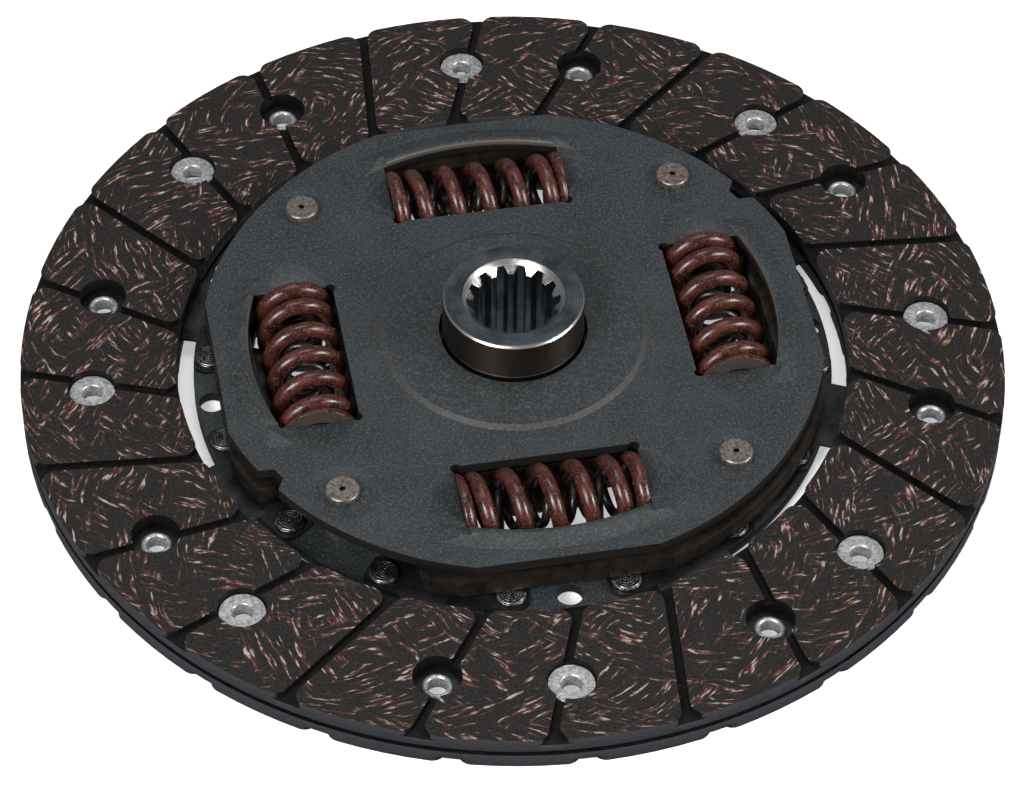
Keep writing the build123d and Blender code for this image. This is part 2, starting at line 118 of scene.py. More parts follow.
studio = {
    "floorSize": 3.0,  # m, from the middle to each side
    "floorDrop": 0.00005,  # m, just clear of the lower lining
    "floorColour": "#f4f4f4",
    "floorRoughness": 0.6,
    "floorGlow": 0.5,
    "worldColour": "#dfe6ee",
    "worldStrength": 0.26,
    "lamps": {  # direction from the disc, distance in m, size in m, watts
        "softboxLeft": ((-0.56, -0.53, 0.64), 1.25, (0.46, 0.40), 15),
        "softboxRight": ((0.76, -0.42, 0.50), 1.25, (0.40, 0.40), 12),
        "topFill": ((0.05, 0.25, 1.0), 1.5, (0.8, 0.6), 5),
    },
}


def makeStudio(s):
    mesh = bpy.data.meshes.new("floor")
    half = s["floorSize"]
    corners = [(-half, -half, 0), (half, -half, 0), (half, half, 0), (-half, half, 0)]
    mesh.from_pydata(corners, [], [(0, 1, 2, 3)])
    floor = bpy.data.objects.new("floor", mesh)
    floor.location.z = -s["floorDrop"]
    bpy.context.scene.collection.objects.link(floor)
    floor.visible_diffuse = False  # the disc's underside and its openings stay dark
    floor.visible_glossy = False
    material, shader = newMaterial("litTable", 0.0)[:2]
    shader.inputs["Roughness"].default_value = s["floorRoughness"]
    shader.inputs["Base Color"].default_value = hexToLinear(s["floorColour"])
    shader.inputs["Emission Color"].default_value = hexToLinear(s["floorColour"])
    shader.inputs["Emission Strength"].default_value = s["floorGlow"]
    floor.data.materials.append(material)
    world = bpy.data.worlds.new("world")
    bpy.context.scene.world = world
    world.use_nodes = True
    background = world.node_tree.nodes["Background"]
    background.inputs["Color"].default_value = hexToLinear(s["worldColour"])
    background.inputs["Strength"].default_value = s["worldStrength"]
    for name, (direction, distance, size, power) in s["lamps"].items():
        data = bpy.data.lights.new(name, "AREA")
        data.shape = "RECTANGLE"
        data.size, data.size_y = size
        data.energy = power
        lamp = bpy.data.objects.new(name, data)
        bpy.context.scene.collection.objects.link(lamp)
        lamp.location = Vector(direction).normalized() * distance
        lamp.rotation_euler = Vector(direction).to_track_quat("Z", "Y").to_euler()
    bpy.context.scene.view_settings.view_transform = "Standard"


makeCamera(cameraSettings)
makeStudio(studio)
print("stage: camera and studio")


def millimetres(add, turnedOver=None):
    # object coordinates in millimetres, turned over first for the lining that is fitted upside down
    place = add("VectorMath", {0: add("TexCoord", output="Object"), "Scale": 1 / mm}, operation="SCALE")
    if turnedOver:
        centre, axis = turnedOver["centre"], turnedOver["axis"]
        place = add(
            "VectorRotate", {"Vector": place, "Center": centre, "Axis": axis, "Angle": math.pi},
            rotation_type="AXIS_ANGLE")
    return place


def radiusOf(add, place):
    # distance from the shaft's axis
    flat = add("VectorMath", {0: place, 1: (1, 1, 0)}, operation="MULTIPLY")
    return add("VectorMath", {0: flat}, output="Value", operation="LENGTH")


def steepness(add):
    # 0 on level faces, 1 on upright ones, from how far the normal points up or down
    levelFace, uprightFace = 0.97, 0.6
    normal = add("SeparateXYZ", {0: add("TexCoord", output="Normal")}, output=2)
    level = add("Math", {0: normal}, operation="ABSOLUTE")
    return add("MapRange", {"Value": level, "From Min": levelFace, "From Max": uprightFace})


def giveMaterial(nodeName, material):
    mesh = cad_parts[nodeName].data
    if not mesh.materials:
        mesh.materials.append(material)
    for i in range(len(mesh.materials)):
        mesh.materials[i] = material


edgeEasing = {"weld": 0.004, "segments": 2, "angle": 32}  # mm and degrees


def easeEdges(nodeName, width, s=edgeEasing):
    # a narrow broken edge, which catches the light as on the real piece
    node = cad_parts[nodeName]
    weld = node.modifiers.new("weld", "WELD")
    weld.merge_threshold = s["weld"] * mm
    bevel = node.modifiers.new("bevel", "BEVEL")
    bevel.width = width * mm
    bevel.segments = s["segments"]
    bevel.limit_method = "ANGLE"
    bevel.angle_limit = math.radians(s["angle"])
    bevel.harden_normals = True


# friction linings

lining = {
    "grooveOffset": 25.8,  # mm, distance of each groove's line from the axis
    "grooveAngle": 9.94,  # degrees
    "outerRadius": 107.5, "middleRadius": 90.5, "innerRadius": 73.5,
    "swing": 18.6,  # how far the wound yarn swings about the middle radius
    "lobes": 3.6,  # swings of the yarn in one turn
    "faceHeight": 8.35, "middleHeight": 4.175,
    "flipAngle": 33.57,  # degrees, the line that the flywheel-side lining is turned over about
    "edge": 0.14,
    "strandPitch": 1.05,  # across the strands; the real yarn is finer and would not show
    "strandLength": 8.0,
    "bendsPerMm": 0.09, "bendReach": 6.0,  # how often and how far a strand wanders
    "patch": 13.0,  # width of the patches where one winding lies over the other
    "patchFrom": (0.47, 0.53),  # these pairs say between which noise levels each thing fades in
    "bareFrom": (0.545, 0.62),
    "copperGlintFrom": (0.4, 0.56),
    "glassGlintFrom": (0.52, 0.62),
    "resinFrom": (0.36, 0.66),
    "glintsPerStrand": (1.6, 3.2),  # across and along
    "grainsPerMm": 1.9, "rimCloudsPerMm": 1.1,
    "relief": 0.05, "roughness": (0.62, 0.45),  # of resin and of bare yarn
    "specular": 0.2,
    "resin": "#0d0c0b",
    "resinPale": "#2b2926",
    "copperStrand": "#3a1c18",
    # painted glints: a brighter copper, and a pale grey that is partly the glass yarn's own colour
    "copperGlint": "#5f3a31",
    "glassYarnGlint": "#9d958e",
    "rim": "#45454a",
    "rimDark": "#2e2e31",
    # painted shade on the groove and rivet-hole surfaces
    "recessShade": "#080808",
}


def windingCoordinates(add, place, s):
    # the two crossing directions of the rosette winding, in millimetres
    radius = radiusOf(add, place)
    # unrolled from a groove, so that the seam of the angle lies in it and never shows
    sine = add("Math", {0: s["grooveOffset"], 1: radius}, operation="DIVIDE")
    lean = add("Math", {0: sine}, operation="ARCSINE")
    turn = add("Math", {0: math.radians(180 - s["grooveAngle"]), 1: lean}, operation="SUBTRACT")
    rolled = add("VectorRotate", {"Vector": place, "Angle": turn}, rotation_type="Z_AXIS")
    rolledX, rolledY = (add("SeparateXYZ", {0: rolled}, output=i) for i in (0, 1))
    rolledAngle = add("Math", {0: rolledY, 1: rolledX}, operation="ARCTAN2")
    angle = add("Math", {0: rolledAngle, 1: lean}, operation="ADD")
    nearlyOne = 0.97  # the arcsine is too steep beyond this
    across = add("MapRange", {
        "Value": radius,
        "From Min": s["middleRadius"] - s["swing"], "From Max": s["middleRadius"] + s["swing"],
        "To Min": -nearlyOne, "To Max": nearlyOne})
    phase = add("Math", {0: across}, operation="ARCSINE")
    perMm = math.hypot(s["lobes"] / s["middleRadius"], 1 / s["swing"])
    run = add("Math", {0: angle, 1: s["lobes"] / perMm}, operation="MULTIPLY")
    swing = add("Math", {0: phase, 1: 1 / perMm}, operation="MULTIPLY")
    first = add("Math", {0: run, 1: swing}, operation="SUBTRACT")
    second = add("Math", {0: run, 1: swing}, operation="ADD")
    return first, second, radius


def bareStrands(add, across, along, seed, s):
    # long thin runs of yarn that the grinding laid bare: how bare, and the noise that places painted glints
    # along their length
    wander = add("CombineXYZ", {0: across, 1: along, 2: seed})
    bend = add("TexNoise", {"Vector": wander, "Scale": s["bendsPerMm"], "Detail": 1.0})
    shift = add("Math", {0: bend, 1: s["bendReach"], 2: across}, operation="MULTIPLY_ADD")
    u = add("Math", {0: shift, 1: s["strandPitch"]}, operation="DIVIDE")
    v = add("Math", {0: along, 1: s["strandLength"]}, operation="DIVIDE")
    strandPlace = add("CombineXYZ", {0: u, 1: v, 2: seed})
    runs = add("TexNoise", {"Vector": strandPlace, "Scale": 1.0, "Detail": 2.0, "Roughness": 0.45})
    low, high = s["bareFrom"]
    bare = add(
        "MapRange", {"Value": runs, "From Min": low, "From Max": high}, interpolation_type="SMOOTHSTEP")
    glintsAcross, glintsAlong = s["glintsPerStrand"]
    glintU = add("Math", {0: u, 1: glintsAcross}, operation="MULTIPLY")
    glintV = add("Math", {0: v, 1: glintsAlong}, operation="MULTIPLY")
    glintPlace = add("CombineXYZ", {0: glintU, 1: glintV, 2: seed + 5})
    glint = add("TexNoise", {"Vector": glintPlace, "Scale": 1.0, "Detail": 2.0, "Roughness": 0.6})
    return bare, glint


def woundYarnFacing(name, s, turnedOver=None):
    # organic friction facing: glass and copper yarn wound with rubber and resin, pressed, then ground flat;
    # the eye sees near-black resin crossed by thin red-brown runs with grey glints
    material, shader, add = newMaterial(name, 0.0)
    shader.inputs["Specular IOR Level"].default_value = s["specular"]  # ground matt
    place = millimetres(add, turnedOver)
    first, second, radius = windingCoordinates(add, place, s)
    bareOne, glintOne = bareStrands(add, first, second, 3.0, s)
    bareTwo, glintTwo = bareStrands(add, second, first, 31.0, s)
    patchPlace = add("CombineXYZ", {0: first, 1: second})
    patchNoise = add(
        "TexNoise", {"Vector": patchPlace, "Scale": 1 / s["patch"], "Detail": 2.0, "Roughness": 0.5})
    low, high = s["patchFrom"]
    patch = add("MapRange", {"Value": patchNoise, "From Min": low, "From Max": high})
    bare = add("Mix", {"Factor": patch, 2: bareOne, 3: bareTwo})
    glint = add("Mix", {"Factor": patch, 2: glintOne, 3: glintTwo})
    # painted highlights: along each strand the copper is painted brighter, then pale grey where the glint
    # noise is highest; the grey is partly the glass yarn's own colour and partly a painted glint
    low, high = s["copperGlintFrom"]
    copperGlintShare = add(
        "MapRange", {"Value": glint, "From Min": low, "From Max": high}, interpolation_type="SMOOTHSTEP")
    low, high = s["glassGlintFrom"]
    glassGlintShare = add(
        "MapRange", {"Value": glint, "From Min": low, "From Max": high}, interpolation_type="SMOOTHSTEP")
    strand = add(
        "Mix", {"Factor": copperGlintShare, 6: s["copperStrand"], 7: s["copperGlint"]}, output=2, data_type="RGBA")
    strand = add("Mix", {"Factor": glassGlintShare, 6: strand, 7: s["glassYarnGlint"]}, output=2, data_type="RGBA")
    grain = add("TexNoise", {"Vector": place, "Scale": s["grainsPerMm"], "Detail": 4.0, "Roughness": 0.75})
    low, high = s["resinFrom"]
    resinAmount = add("MapRange", {"Value": grain, "From Min": low, "From Max": high})
    resin = add("Mix", {"Factor": resinAmount, 6: s["resin"], 7: s["resinPale"]}, output=2, data_type="RGBA")
    ground = add("Mix", {"Factor": bare, 6: resin, 7: strand}, output=2, data_type="RGBA")

    # only the level top is ground; the grooves and rivet holes are painted near-black as shade, and the rims
    # show the pressed skin
    height = add("SeparateXYZ", {0: place}, output=2)
    isTop = add("MapRange", {
        "Value": height, "From Min": s["faceHeight"] - 0.5, "From Max": s["faceHeight"] - 0.15})
    steep = steepness(add)
    level = add("Math", {0: 1.0, 1: steep}, operation="SUBTRACT")
    isFace = add("Math", {0: isTop, 1: level}, operation="MULTIPLY")
    outerWall = add("MapRange", {
        "Value": radius, "From Min": s["outerRadius"] - 0.6, "From Max": s["outerRadius"] - 0.3})
    innerWall = add("MapRange", {
        "Value": radius, "From Min": s["innerRadius"] + 0.7, "From Max": s["innerRadius"] + 0.3})
    isWall = add("Math", {0: outerWall, 1: innerWall}, operation="MAXIMUM")
    isRim = add("Math", {0: isWall, 1: steep}, operation="MULTIPLY")
    rimCloud = add(
        "TexNoise", {"Vector": place, "Scale": s["rimCloudsPerMm"], "Detail": 4.0, "Roughness": 0.7})
    rim = add("Mix", {"Factor": rimCloud, 6: s["rimDark"], 7: s["rim"]}, output=2, data_type="RGBA")
    below = add("Mix", {"Factor": isRim, 6: s["recessShade"], 7: rim}, output=2, data_type="RGBA")
    colour = add("Mix", {"Factor": isFace, 6: below, 7: ground}, output=2, data_type="RGBA")
    resinRough, yarnRough = s["roughness"]
    rough = add("MapRange", {"Value": bare, "To Min": resinRough, "To Max": yarnRough})
    relief = add("Math", {0: grain, 1: 0.8, 2: bare}, operation="MULTIPLY_ADD")
    normal = add("Bump", {"Height": relief, "Distance": s["relief"] * mm, "Strength": 1.0})
    connect(shader, baseColor=colour, roughness=rough, normal=normal)
    return material


flipAngle = math.radians(lining["flipAngle"])
flip = {
    "centre": (0, 0, lining["middleHeight"]),
    "axis": (math.cos(flipAngle), math.sin(flipAngle), 0),
}
giveMaterial("lining_gearbox_side", woundYarnFacing("woundYarnFacing", lining))
giveMaterial("lining_flywheel_side", woundYarnFacing("woundYarnFacingUnder", lining, flip))
easeEdges("lining_gearbox_side", lining["edge"])
easeEdges("lining_flywheel_side", lining["edge"])
print("stage: linings")


# pressed plates

plates = {
    "skin": "#232728",
    "skinPale": "#2c3032",
    "speck": "#515557",
    "cutEdge": "#565049",
    # painted shade: a sheared edge darkens to this the further it lies below the face
    "cutEdgeShade": "#191715",
    "coverFace": 14.95,  # mm, height of the cover plate's outer face
    "drivenFace": 1.35,
    "coverEdge": 0.3, "drivenEdge": 0.25,
    "clouds": 15.0, "cloudsFrom": (0.38, 0.62),
    "crystals": 0.55,  # mm; real phosphate crystals are a hundredth of this and would not show
    "specksFrom": (0.5, 0.66), "speckShare": 0.62,
    "edgeShadeBand": (-0.35, 0.1),  # mm from the face, where a sheared edge turns from near-black painted shade deeper down to its pale brown near the face
    "relief": 0.02, "roughness": (0.42, 0.6),
}


def phosphatedPressing(name, s, faceHeight, outward):
    # deep-drawing steel, pressed, manganese-phosphated and oiled: dull blue-grey with pale specks,
    # brown on sheared edges, painted near-black as shade further below the face
    material, shader, add = newMaterial(name, 0.2)
    place = millimetres(add)
    cloud = add("TexNoise", {"Vector": place, "Scale": 1 / s["clouds"], "Detail": 4.0, "Roughness": 0.6})
    crystal = add(
        "TexNoise", {"Vector": place, "Scale": 1 / s["crystals"], "Detail": 2.0, "Roughness": 0.7})
    low, high = s["cloudsFrom"]
    cloudy = add("MapRange", {"Value": cloud, "From Min": low, "From Max": high})
    skin = add("Mix", {"Factor": cloudy, 6: s["skin"], 7: s["skinPale"]}, output=2, data_type="RGBA")
    low, high = s["specksFrom"]
    specks = add("MapRange", {"Value": crystal, "From Min": low, "From Max": high, "To Max": s["speckShare"]})
    skin = add("Mix", {"Factor": specks, 6: skin, 7: s["speck"]}, output=2, data_type="RGBA")
    height = add("SeparateXYZ", {0: place}, output=2)
    # painted shade: sheared edges darken the further they lie below the face
    proud = add("Math", {0: height, 1: outward, 2: -outward * faceHeight}, operation="MULTIPLY_ADD")
    low, high = s["edgeShadeBand"]
    clearOfEdgeShade = add("MapRange", {"Value": proud, "From Min": low, "From Max": high})
    shearedEdgeWithShade = add("Mix", {"Factor": clearOfEdgeShade, 6: s["cutEdgeShade"], 7: s["cutEdge"]}, output=2, data_type="RGBA")
    colour = add("Mix", {"Factor": steepness(add), 6: skin, 7: shearedEdgeWithShade}, output=2, data_type="RGBA")
    smooth, matt = s["roughness"]
    rough = add("MapRange", {
        "Value": crystal, "From Min": 0.3, "From Max": 0.7, "To Min": smooth, "To Max": matt})
    normal = add("Bump", {"Height": crystal, "Distance": s["relief"] * mm, "Strength": 1.0})
    connect(shader, baseColor=colour, roughness=rough, normal=normal)
    return material


giveMaterial("cover_plate", phosphatedPressing("phosphatedCoverPlate", plates, plates["coverFace"], 1))
giveMaterial("driven_plate", phosphatedPressing("phosphatedDrivenPlate", plates, plates["drivenFace"], -1))
easeEdges("cover_plate", plates["coverEdge"])
easeEdges("driven_plate", plates["drivenEdge"])

springPlace = {  # mm and turns
    "count": 4, "radius": 45.8, "height": 9.155, "length": 39.3,
    "closed": 1.25, "blend": 0.2,  # turns closed at each end, and the turns that open up after them
    "lead": 0.35,
    "endForEnd": 2,  # the spring that stands the other way round
}
springTabs = {
    "bend": 10.8,  # mm, radius round the spring, wide enough for it to lean as the hub turns
    "edgeHeight": 2.6,
    "clearance": 0.05,  # above the flywheel's face
    "sheet": 0.6,
    "sides": {  # radius at the window's edge and at the free edge, length along each
        "outer": ((57.6, 51.4), (31.0, 26.0)),
        "inner": ((36.9, 40.4), (20.0, 18.0)),
    },
    "rows": 10, "columns": 16,
}


def tabMesh(name, radii, lengths, s, place, followsArc):
    # a strip that starts at the window's edge and follows the spring down, above the flywheel's face
    lowest = s["clearance"] + s["sheet"]
    bm = bmesh.new()
    rows = []
    for i in range(s["rows"] + 1):
        share = i / s["rows"]
        r = radii[0] + (radii[1] - radii[0]) * share
        length = lengths[0] + (lengths[1] - lengths[0]) * share
        drop = math.sqrt(max(s["bend"] ** 2 - (r - place["radius"]) ** 2, 0))
        z = max(min(place["height"] - drop, s["edgeHeight"]), lowest)
        row = []
        for j in range(s["columns"] + 1):
            y = (j / s["columns"] - 0.5) * length
            x = math.sqrt(r * r - y * y) if followsArc else r
            row.append(bm.verts.new(Vector((x, y, z)) * mm))
        rows.append(row)
    for low, high in zip(rows, rows[1:]):
        for j in range(s["columns"]):
            bm.faces.new((low[j], low[j + 1], high[j + 1], high[j]))
    bmesh.ops.recalc_face_normals(bm, faces=bm.faces)
    for face in bm.faces:
        face.smooth = True
    mesh = bpy.data.meshes.new(name)
    bm.to_mesh(mesh)
    bm.free()
    return mesh


def makeSpringTabs(s, place, material):
    # the edges of the driven plate's windows, bent down round the springs to hold them
    for k in range(place["count"]):
        for side, (radii, lengths) in s["sides"].items():
            name = f"springTab{side.capitalize()}{k + 1}"
            mesh = tabMesh(name, radii, lengths, s, place, side == "outer")
            tab = bpy.data.objects.new(name, mesh)
            bpy.context.scene.collection.objects.link(tab)
            tab.rotation_euler.z = 2 * math.pi / place["count"] * k
            sheet = tab.modifiers.new("sheet", "SOLIDIFY")
            sheet.thickness = s["sheet"] * mm
            sheet.offset = 0
            tab.data.materials.append(material)
            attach(tab, "disc")


makeSpringTabs(springTabs, springPlace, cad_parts["driven_plate"].data.materials[0])
print("stage: plates")


# hub and flange

hubFinish = {
    "steel": "#777d82",
    "stain": "#4c5257",
    "wall": "#5b5149",
    # painted highlight on the collar's ring and the chamfers
    "paintedHighlight": "#b9b6b2",
    "ringPitch": 0.4,  # mm, coarser than the real feed of the tool
    "outerRadius": 15.4,
    "highlightRing": (16.15, 16.4),  # heights of a narrow ring on the collar, painted bright as a highlight
    "highlightSlope": 0.68, "slopeRange": 0.16,  # upward share of the normal on the chamfers that are painted as highlights, give or take
    "stains": 6.25, "stainsFrom": (0.36, 0.64),
    "edge": 0.1, "relief": 0.01, "roughness": (0.24, 0.4),
}


def turnedHubSteel(s):
    # case-hardened steel, turned: blue-grey faces with fine rings, chamfers painted bright as a highlight,
    # brown oil on the wall
    material, shader, add = newMaterial("turnedHubSteel", 1.0)
    place = millimetres(add)
    height = add("SeparateXYZ", {0: place}, output=2)
    radius = radiusOf(add, place)
    ringPlace = add("CombineXYZ", {0: radius, 1: height})
    rings = add(
        "TexNoise", {"Vector": ringPlace, "Scale": 1 / s["ringPitch"], "Detail": 2.0, "Roughness": 0.6})
    stain = add("TexNoise", {"Vector": place, "Scale": 1 / s["stains"], "Detail": 4.0, "Roughness": 0.6})
    low, high = s["stainsFrom"]
    stained = add("MapRange", {"Value": stain, "From Min": low, "From Max": high})
    face = add("Mix", {"Factor": stained, 6: s["stain"], 7: s["steel"]}, output=2, data_type="RGBA")
    outside = add("MapRange", {
        "Value": radius, "From Min": s["outerRadius"] - 0.3, "From Max": s["outerRadius"] - 0.1})
    isWall = add("Math", {0: steepness(add), 1: outside}, operation="MULTIPLY")
    colour = add("Mix", {"Factor": isWall, 6: face, 7: s["wall"]}, output=2, data_type="RGBA")

    # painted highlights: the narrow ring on the wall, and the chamfers that face up at a slant
    low, high = s["highlightRing"]
    aboveLow = add("Math", {0: height, 1: low}, operation="GREATER_THAN")
    belowHigh = add("Math", {0: height, 1: high}, operation="LESS_THAN")
    inBand = add("Math", {0: aboveLow, 1: belowHigh}, operation="MULTIPLY")
    ringHighlight = add("Math", {0: inBand, 1: isWall}, operation="MULTIPLY")
    normalUp = add("SeparateXYZ", {0: add("TexCoord", output="Normal")}, output=2)
    chamferHighlight = add("Math", {0: normalUp, 1: s["highlightSlope"], 2: s["slopeRange"]}, operation="COMPARE")
    isPaintedHighlight = add("Math", {0: ringHighlight, 1: chamferHighlight}, operation="MAXIMUM")
    colour = add("Mix", {"Factor": isPaintedHighlight, 6: colour, 7: s["paintedHighlight"]}, output=2, data_type="RGBA")
    smooth, matt = s["roughness"]
    rough = add("MapRange", {
        "Value": rings, "From Min": 0.3, "From Max": 0.7, "To Min": smooth, "To Max": matt})
    normal = add("Bump", {"Height": rings, "Distance": s["relief"] * mm, "Strength": 1.0})
    connect(shader, baseColor=colour, roughness=rough, normal=normal)
    return material


flangeFinish = {
    "steel": "#4b4138",
    "dark": "#2c2723",
    "stains": 5.0, "stainsFrom": (0.36, 0.64),  # mm
    "shearLines": 0.5,  # mm apart
    "lineStretch": 0.12,  # lower draws the lines out further along Z
    "edge": 0.3, "relief": 0.02, "metallic": 0.8, "roughness": (0.35, 0.52),
}


def blankedSteel(name, s):
    # fine-blanked steel, hardened and oiled: dark brown-grey with upright shear lines on its edge
    material, shader, add = newMaterial(name, s["metallic"])
    place = millimetres(add)
    stain = add("TexNoise", {"Vector": place, "Scale": 1 / s["stains"], "Detail": 4.0, "Roughness": 0.65})
    low, high = s["stainsFrom"]
    stained = add("MapRange", {"Value": stain, "From Min": low, "From Max": high})
    colour = add("Mix", {"Factor": stained, 6: s["dark"], 7: s["steel"]}, output=2, data_type="RGBA")
    drawn = add("VectorMath", {0: place, 1: (1, 1, s["lineStretch"])}, operation="MULTIPLY")
    lines = add("TexNoise", {"Vector": drawn, "Scale": 1 / s["shearLines"], "Detail": 2.0})
    smooth, matt = s["roughness"]
    rough = add("MapRange", {
        "Value": lines, "From Min": 0.3, "From Max": 0.7, "To Min": smooth, "To Max": matt})
    normal = add("Bump", {"Height": lines, "Distance": s["relief"] * mm, "Strength": 1.0})
    connect(shader, baseColor=colour, roughness=rough, normal=normal)
    return material


giveMaterial("hub", turnedHubSteel(hubFinish))
giveMaterial("hub_flange", blankedSteel("blankedFlangeSteel", flangeFinish))
easeEdges("hub", hubFinish["edge"])
easeEdges("hub_flange", flangeFinish["edge"])
print("stage: hub and flange")


# cushion segments and coned washer

segmentFinish = {
    "steel": "#47484a",
    "dark": "#26282b",
    "stains": 6.0, "stainsFrom": (0.36, 0.64),  # mm
    "shearLines": 0.6, "lineStretch": 0.12,
    "relief": 0.02, "metallic": 0.85, "roughness": (0.29, 0.46),
}
segmentWave = {
    "count": 8,
    "middle": 4.175,  # mm, height that the waves close on
    "flattened": 0.49,  # share of their height left when the linings are closed
}
strip = blankedSteel("hardenedSpringStrip", segmentFinish)
for k in range(segmentWave["count"]):
    giveMaterial(f"cushion_segment_{k + 1}", strip)
giveMaterial("disc_spring", strip)


def makeWavedSegments(s):
    # copies of the waved strips on the disc's body, in place of the frame's own rigid ones
    for k in range(s["count"]):
        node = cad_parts[f"cushion_segment_{k + 1}"]
        segment = bpy.data.objects.new(f"wavedSegment{k + 1}", node.data.copy())
        bpy.context.scene.collection.objects.link(segment)
        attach(segment, "disc")
        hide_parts(f"cushion_segment_{k + 1}")
        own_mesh(segment)


makeWavedSegments(segmentWave)
print("stage: cushion segments")


# rivets and stop pins

footRivets = {
    "radius": 66.5, "first": 22.5, "step": 45, "pair": 11.85,  # mm and degrees
    "steel": "#8d8b89", "dark": "#3c3b3b", "mottlesPerMm": 1.3, "mottlesFrom": (0.4, 0.6),
    "ringPitch": 0.62, "ringDepth": 0.06, "roughness": (0.19, 0.36), "metallic": 0.95, "edge": 0.15,
}
stopPins = {
    "radius": 59.3, "first": 42.44, "step": 90, "pair": 0.0,
    "steel": "#8a827b", "dark": "#57504a", "mottlesPerMm": 1.3, "mottlesFrom": (0.4, 0.6),
    "ringPitch": 1.3, "ringDepth": 0.006, "roughness": (0.33, 0.5), "metallic": 0.7, "edge": 0.12,
    "dimple": 0.75, "dimpleEdge": 0.2, "dimpleShade": "#050404",  # mm, radius of the centre dimple, painted near-black as shade
}
tubeRivets = {
    "radius": 92.1, "first": 42.14, "firstUnder": 25.0, "step": 45, "pair": 0.0,
    "steel": "#d0d0d0", "dark": "#98989a", "mottlesPerMm": 1.3, "mottlesFrom": (0.4, 0.6),
    "ringPitch": 1.5, "ringDepth": 0.005, "roughness": (0.35, 0.52), "metallic": 0.75, "edge": 0.12,
}


def rivetCoordinates(add, place, s):
    # distance from the middle of whichever rivet is nearest, folding the circle of them onto one
    x, y = (add("SeparateXYZ", {0: place}, output=i) for i in (0, 1))
    radius = radiusOf(add, place)
    turn = add("Math", {0: y, 1: x}, operation="ARCTAN2")
    angle = add("Math", {0: turn, 1: 180 / math.pi}, operation="MULTIPLY")
    half = s["step"] / 2
    turned = add("Math", {0: angle, 1: s["first"] - half}, operation="SUBTRACT")
    wrapped = add("Math", {0: turned, 1: s["step"]}, operation="FLOORED_MODULO")
    folded = add("Math", {0: wrapped, 1: half}, operation="SUBTRACT")
    if s["pair"]:
        folded = add("Math", {0: folded}, operation="ABSOLUTE")
        folded = add("Math", {0: folded, 1: s["pair"]}, operation="SUBTRACT")
    lean = add("Math", {0: folded}, operation="RADIANS")
    cosine = add("Math", {0: lean}, operation="COSINE")
    sine = add("Math", {0: lean}, operation="SINE")
    along = add("Math", {0: radius, 1: cosine}, operation="MULTIPLY")
    side = add("Math", {0: radius, 1: sine}, operation="MULTIPLY")
    out = add("Math", {0: along, 1: s["radius"]}, operation="SUBTRACT")
    offset = add("CombineXYZ", {0: out, 1: side})
    return add("VectorMath", {0: offset}, output="Value", operation="LENGTH")


def rolledRivetSteel(name, s):
    # soft steel rivet closed by a spinning tool: rings about each rivet's own centre, oily dark mottles, and
    # any centre dimple painted near-black as shade
    material, shader, add = newMaterial(name, s["metallic"])
    place = millimetres(add)
    away = rivetCoordinates(add, place, s)
    wave = add("Math", {0: away, 1: 2 * math.pi / s["ringPitch"]}, operation="MULTIPLY")
    ring = add("Math", {0: wave}, operation="SINE")
    mottle = add(
        "TexNoise", {"Vector": place, "Scale": s["mottlesPerMm"], "Detail": 5.0, "Roughness": 0.75})
    low, high = s["mottlesFrom"]
    mottled = add("MapRange", {"Value": mottle, "From Min": low, "From Max": high})
    colour = add("Mix", {"Factor": mottled, 6: s["dark"], 7: s["steel"]}, output=2, data_type="RGBA")
    if "dimple" in s:
        # painted shade: the centre dimple is painted near-black
        inDimple = add("MapRange", {
            "Value": away, "From Min": s["dimple"], "From Max": s["dimple"] - s["dimpleEdge"]})
        colour = add("Mix", {"Factor": inDimple, 6: colour, 7: s["dimpleShade"]}, output=2, data_type="RGBA")
    smooth, matt = s["roughness"]
    rough = add("MapRange", {
        "Value": mottle, "From Min": 0.3, "From Max": 0.7, "To Min": smooth, "To Max": matt})
    relief = add("Math", {0: mottle, 1: 0.8, 2: ring}, operation="MULTIPLY_ADD")
    normal = add("Bump", {"Height": relief, "Distance": s["ringDepth"] * mm, "Strength": 1.0})
    connect(shader, baseColor=colour, roughness=rough, normal=normal)
    return material


tubeRivetsUnder = dict(tubeRivets, first=tubeRivets["firstUnder"])
giveMaterial("segment_rivets", rolledRivetSteel("spunRivetSteel", footRivets))
giveMaterial("stop_pins", rolledRivetSteel("stopPinSteel", stopPins))
giveMaterial("lining_rivets_gearbox", rolledRivetSteel("tubeRivetSteel", tubeRivets))
giveMaterial("lining_rivets_flywheel", rolledRivetSteel("tubeRivetSteelUnder", tubeRivetsUnder))
easeEdges("stop_pins", stopPins["edge"])
easeEdges("segment_rivets", footRivets["edge"])
easeEdges("lining_rivets_gearbox", tubeRivets["edge"])
easeEdges("lining_rivets_flywheel", tubeRivets["edge"])
print("stage: rivets and pins")


# plastic rings of the friction set

frictionSet = {
    "bush": ("#191715", "#292623"),  # dark and pale
    "ring": ("#211e1b", "#312c28"),
    "flow": 1.2, "skin": 0.4,  # mm
    "relief": 0.01, "roughness": (0.48, 0.62),
}


def mouldedPolyamide(name, dark, pale, s):
    # glass-filled polyamide, moulded: near black with a dull skin
    material, shader, add = newMaterial(name, 0.0)
    place = millimetres(add)
    flow = add("TexNoise", {"Vector": place, "Scale": 1 / s["flow"], "Detail": 3.0})
    colour = add("Mix", {"Factor": flow, 6: dark, 7: pale}, output=2, data_type="RGBA")
    skin = add("TexNoise", {"Vector": place, "Scale": 1 / s["skin"], "Detail": 2.0})
    smooth, matt = s["roughness"]
    rough = add("MapRange", {
        "Value": skin, "From Min": 0.3, "From Max": 0.7, "To Min": smooth, "To Max": matt})
    normal = add("Bump", {"Height": skin, "Distance": s["relief"] * mm})
    connect(shader, baseColor=colour, roughness=rough, normal=normal)
    return material


giveMaterial("centring_bush", mouldedPolyamide("mouldedBush", *frictionSet["bush"], frictionSet))
giveMaterial("friction_ring", mouldedPolyamide("mouldedFrictionRing", *frictionSet["ring"], frictionSet))
print("stage: friction set")


# damper springs

